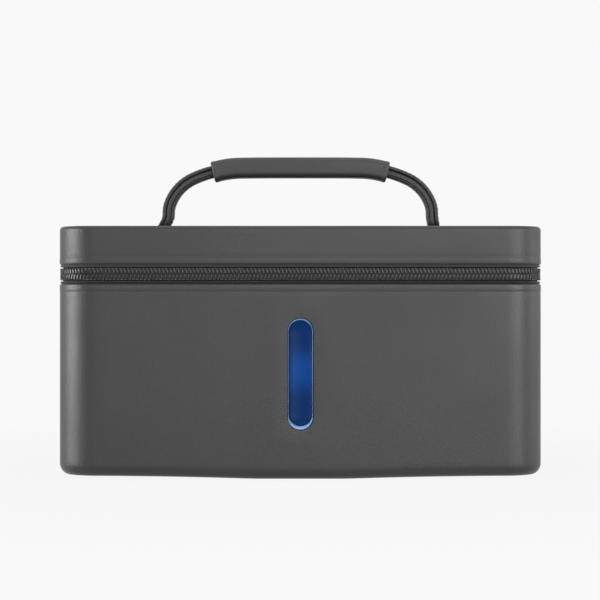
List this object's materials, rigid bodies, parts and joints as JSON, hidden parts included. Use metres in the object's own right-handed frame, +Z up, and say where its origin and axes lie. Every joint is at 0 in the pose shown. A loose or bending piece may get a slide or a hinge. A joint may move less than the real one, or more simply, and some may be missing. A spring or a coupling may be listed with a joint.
{
  "type": "uv sterilizer bag",
  "caption": "Zipped box-shaped bag with an arched carry handle, a hinged lid that holds ultraviolet lamps, and a long lit press button on its front.",
  "frame": {"origin": "on the flat the bag stands on, under the middle of the body", "axes": "+X to the right along the bag's width, front towards -Y, +Z up"},
  "size_m": [0.3105, 0.1941, 0.207],
  "materials": {
    "shell_leather": "matte smooth coated leather",
    "zipper_tape": "woven tape",
    "zipper_coil": "moulded coil",
    "binding": "woven binding",
    "slider_metal": "black nickel",
    "reflective_lining": "satin foil",
    "strap_leather": "fine grain",
    "grip_leather": "matte smooth",
    "steel": "plated",
    "white_plastic": "satin",
    "black_plastic": "moulded",
    "circuit_board": "solder mask",
    "lamp_board": "white solder mask",
    "lamp_chip": "ceramic package",
    "quartz": "clear",
    "battery_wrap": "shrink wrap",
    "button_rim": "gloss",
    "button_blue": "deep blue gloss",
    "silicone": "matte",
    "cable_jacket": "matte",
    "ribbon": "flat flexible cable"
  },
  "bodies": {
    "base": {"base_shell": "shell_leather", "lower_zipper_tape": "zipper_tape", "lower_zipper_coil": "zipper_coil", "lower_zipper_end_stops": "slider_metal", "hinge_strip": "zipper_tape", "base_binding": "binding", "base_liner": "reflective_lining", "lid_sensor": "circuit_board", "equipment_tray": "black_plastic", "floor_screws": "steel", "board_screws": "steel", "false_floor": "white_plastic", "main_board": "circuit_board", "board_parts": "black_plastic", "battery_pack": "battery_wrap", "battery_clamp": "steel", "charge_socket": "steel", "port_frame": "black_plastic", "button_bezel": "button_rim", "button_housing": "black_plastic", "housing_screws": "steel", "button_board": "circuit_board", "tact_switch": "black_plastic", "indicator_leds": "lamp_chip", "return_pads": "silicone", "button_cable": "cable_jacket", "lamp_ribbon_base": "ribbon", "lamp_ribbon_flex": "ribbon", "ribbon_duct": "white_plastic"},
    "lid": {"lid_shell": "shell_leather", "upper_zipper_tape": "zipper_tape", "upper_zipper_coil": "zipper_coil", "upper_zipper_end_stops": "slider_metal", "lid_binding": "binding", "lid_liner": "reflective_lining", "handle_anchor_left": "steel", "handle_anchor_right": "steel", "anchor_screws": "steel", "lid_backing_plate": "black_plastic", "lamp_panel_screws": "steel", "lamp_panel": "white_plastic", "lamp_windows": "quartz", "uv_lamps": "lamp_chip", "lamp_board_front": "lamp_board", "lamp_board_rear": "lamp_board", "lid_magnet": "steel", "lamp_ribbon_lid": "ribbon"},
    "handle": {"handle_strap_outer": "strap_leather", "handle_strap_inner": "strap_leather", "handle_stiffener": "steel", "handle_grip": "grip_leather", "handle_pivot_pins": "steel"},
    "button": {"button_cap": "button_blue"},
    "slider_front": {"slider_front": "slider_metal"},
    "slider_rear": {"slider_rear": "slider_metal"},
    "tab_front": {"pull_tab_front": "slider_metal"},
    "tab_rear": {"pull_tab_rear": "slider_metal"},
    "port_flap": {"port_cover": "silicone"}
  },
  "joints": [
    {"name": "lid_hinge", "type": "hinge", "parent": "base", "child": "lid", "pos_m": [0, 0.095, 0.1282], "axis": [-1, 0, 0], "range_deg": [0, 110], "deforming": ["hinge_strip", "lamp_ribbon_flex"]},
    {"name": "handle_fold", "type": "hinge", "parent": "lid", "child": "handle", "pos_m": [0, 0, 0.1657], "axis": [1, 0, 0], "range_deg": [-75, 75], "stiffness_Nm_per_rad": 0.25},
    {"name": "button_press", "type": "slide", "parent": "base", "child": "button", "axis": [0, 1, 0], "range_m": [0, 0.0008], "stiffness_N_per_m": 1500, "springref_m": -0.0004, "deforming": ["return_pads"]},
    {"name": "front_slider_run", "type": "slide", "parent": "base", "child": "slider_front", "axis": [0, -1, 0], "range_m": [0, 0.08]},
    {"name": "rear_slider_run", "type": "slide", "parent": "base", "child": "slider_rear", "axis": [0, 1, 0], "range_m": [0, 0.03]},
    {"name": "front_tab_swing", "type": "hinge", "parent": "slider_front", "child": "tab_front", "pos_m": [0.15548, 0.0165, 0.1282], "axis": [0, 0, 1], "range_deg": [0, 100]},
    {"name": "rear_tab_swing", "type": "hinge", "parent": "slider_rear", "child": "tab_rear", "pos_m": [0.15548, 0.0335, 0.1282], "axis": [0, 0, -1], "range_deg": [0, 100]},
    {"name": "port_cover_hinge", "type": "hinge", "parent": "base", "child": "port_flap", "pos_m": [-0.045, 0.0973, 0.0191], "axis": [1, 0, 0], "range_deg": [0, 110]}
  ]
}
